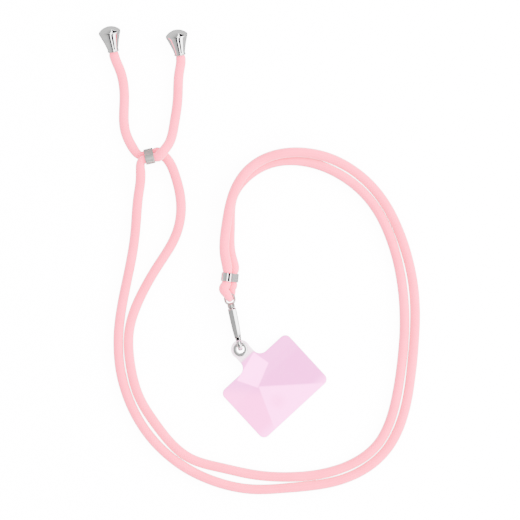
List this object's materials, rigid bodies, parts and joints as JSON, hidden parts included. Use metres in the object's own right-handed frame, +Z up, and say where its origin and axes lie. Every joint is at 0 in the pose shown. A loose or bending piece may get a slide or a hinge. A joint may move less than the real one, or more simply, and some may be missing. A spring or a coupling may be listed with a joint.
{
  "type": "phone crossbody strap",
  "caption": "Adjustable doubled cord strap with capped ends, a slider ring and a swivel snap hook that holds a clear phone-case patch.",
  "frame": {"origin": "middle of the patch's underside, on the surface the strap lies on", "axes": "+Z up from that surface, +Y along the strap towards its capped ends, +X to the right seen from above"},
  "size_m": [0.2243, 0.3266, 0.0151],
  "materials": {
    "cord": "fine braided cord with a soft sheen",
    "chrome": "polished",
    "clear_plastic": "glossy, see-through, tinted pink"
  },
  "bodies": {
    "strap": {"cord": "cord", "end_cap_left": "chrome", "end_cap_right": "chrome", "slider": "chrome", "ferrule": "chrome", "swivel_eye": "chrome"},
    "hook": {"hook_body": "chrome", "eyelet": "chrome", "patch": "clear_plastic"},
    "gate": {"hook_gate": "chrome"}
  },
  "joints": [
    {"name": "swivel", "type": "hinge", "parent": "strap", "child": "hook", "pos_m": [-0.03003, 0.05471, 0.00677], "axis": [0.2067, -0.9767, -0.0576], "continuous": true},
    {"name": "gate_hinge", "type": "hinge", "parent": "hook", "child": "gate", "pos_m": [-0.02894, 0.04956, 0.00947], "axis": [0.9783, 0.2071, 0], "range_deg": [0, 14], "stiffness_Nm_per_rad": 0.02, "springref_deg": -11.46}
  ]
}
